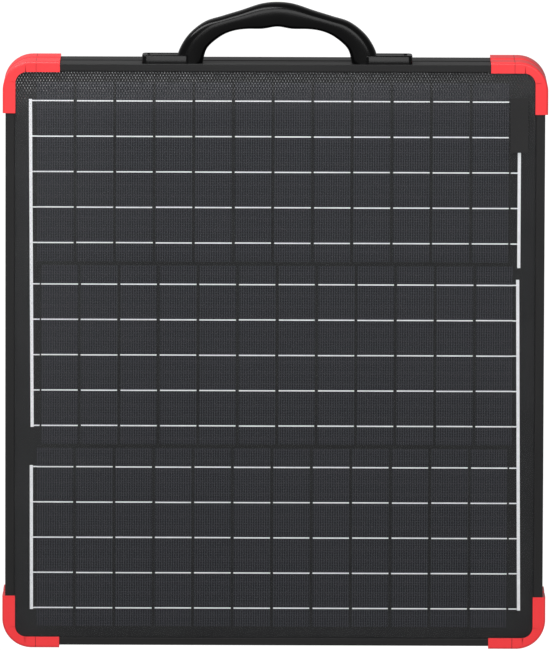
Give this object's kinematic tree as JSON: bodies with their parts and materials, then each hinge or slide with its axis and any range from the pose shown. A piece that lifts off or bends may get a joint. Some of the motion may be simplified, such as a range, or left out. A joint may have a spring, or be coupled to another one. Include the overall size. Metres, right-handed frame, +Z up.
{
  "type": "folding solar suitcase kit",
  "caption": "Folding solar panel suitcase: framed face-out panels, red corner caps, carry handle on top, link hinges, fold-out stands and a charge controller inside.",
  "frame": {"origin": "under the middle of the closed case, on the plane its bottom corner caps stand on, midway between the two panels", "axes": "+Z up the standing case towards the carry handle; the handle panel's cells face -Y; X runs along the handle"},
  "size_m": [0.48, 0.072, 0.5721],
  "materials": {
    "black_frame": "satin black anodised",
    "red_cap": "satin red moulding",
    "handle_black": "satin black moulding",
    "backboard_black": "matt black composite board",
    "cell_silicon": "dark silicon cells",
    "ribbon_tin": "bright tinned ribbon",
    "cover_film": "clear embossed polymer film",
    "label_black": "plain black label",
    "bare_aluminium": "mill finish",
    "steel": "zinc-plated steel",
    "magnet_nickel": "nickel-plated magnet",
    "rubber_black": "matt black rubber",
    "box_black": "textured black housing",
    "controller_grey": "textured dark grey housing",
    "controller_face": "matt mid-grey face",
    "display_window": "smoked clear window",
    "button_orange": "soft-touch button",
    "terminal_green": "green terminal strip",
    "circuit_board": "solder-masked board"
  },
  "bodies": {
    "front_panel": {"carry_handle": "handle_black", "ctrl_case": "controller_grey", "ctrl_face": "controller_face", "ctrl_pcb": "circuit_board", "ctrl_terminals": "terminal_green", "ctrl_window": "display_window", "front_backboard": "backboard_black", "front_cap_bottom_left": "red_cap", "front_cap_bottom_right": "red_cap", "front_cap_top_left": "red_cap", "front_cap_top_right": "red_cap", "front_cell_strips": "cell_silicon", "front_corner_keys": "bare_aluminium", "front_cover_film": "cover_film", "front_hinge_brackets": "steel", "front_jbox_base": "box_black", "front_jbox_lid": "box_black", "front_label": "label_black", "front_lead": "rubber_black", "front_lead_clips": "box_black", "front_magnets": "magnet_nickel", "front_rail_bottom": "black_frame", "front_rail_left": "black_frame", "front_rail_right": "black_frame", "front_rail_top": "black_frame", "front_ribbons": "ribbon_tin", "front_screws": "steel", "front_stand_studs": "steel"},
    "hinge_links": {"hinge_links": "steel", "hinge_pins": "steel"},
    "back_panel": {"back_backboard": "backboard_black", "back_cap_bottom_left": "red_cap", "back_cap_bottom_right": "red_cap", "back_cap_top_left": "red_cap", "back_cap_top_right": "red_cap", "back_cell_strips": "cell_silicon", "back_corner_keys": "bare_aluminium", "back_cover_film": "cover_film", "back_hinge_brackets": "steel", "back_jbox_base": "box_black", "back_jbox_lid": "box_black", "back_rail_bottom": "black_frame", "back_rail_left": "black_frame", "back_rail_right": "black_frame", "back_rail_top": "black_frame", "back_ribbons": "ribbon_tin", "back_screws": "steel", "back_stand_studs": "steel", "back_strikes": "steel"},
    "front_stand": {"front_stand_arm_left": "bare_aluminium", "front_stand_arm_right": "bare_aluminium", "front_stand_crossbar": "bare_aluminium", "front_stand_sleeves": "rubber_black"},
    "back_stand": {"back_stand_arm_left": "bare_aluminium", "back_stand_arm_right": "bare_aluminium", "back_stand_crossbar": "bare_aluminium", "back_stand_sleeves": "rubber_black"},
    "button_menu": {"ctrl_button_menu": "button_orange"},
    "button_load": {"ctrl_button_load": "button_orange"}
  },
  "joints": [
    {"name": "fold_front", "type": "hinge", "parent": "front_panel", "child": "hinge_links", "pos_m": [0, -0.0085, 0.008], "axis": [-1, 0, 0], "range_deg": [0, 90]},
    {"name": "fold_back", "type": "hinge", "parent": "hinge_links", "child": "back_panel", "pos_m": [0, 0.0085, 0.008], "axis": [-1, 0, 0], "range_deg": [0, 90]},
    {"name": "front_stand_swing", "type": "hinge", "parent": "front_panel", "child": "front_stand", "pos_m": [0, -0.012, 0.455], "axis": [1, 0, 0], "range_deg": [0, 60]},
    {"name": "back_stand_swing", "type": "hinge", "parent": "back_panel", "child": "back_stand", "pos_m": [0, 0.012, 0.455], "axis": [-1, 0, 0], "range_deg": [0, 60]},
    {"name": "menu_press", "type": "slide", "parent": "front_panel", "child": "button_menu", "axis": [0, -1, 0], "range_m": [0, 0.0008], "stiffness_N_per_m": 300, "springref_m": -0.0005},
    {"name": "load_press", "type": "slide", "parent": "front_panel", "child": "button_load", "axis": [0, -1, 0], "range_m": [0, 0.0008], "stiffness_N_per_m": 300, "springref_m": -0.0005}
  ],
  "couplings": [
    {"joint": "fold_back", "follows": "fold_front", "ratio": 1},
    {"joint": "front_stand_swing", "follows": "fold_front", "ratio": 0.6666},
    {"joint": "back_stand_swing", "follows": "fold_front", "ratio": 0.6666}
  ]
}
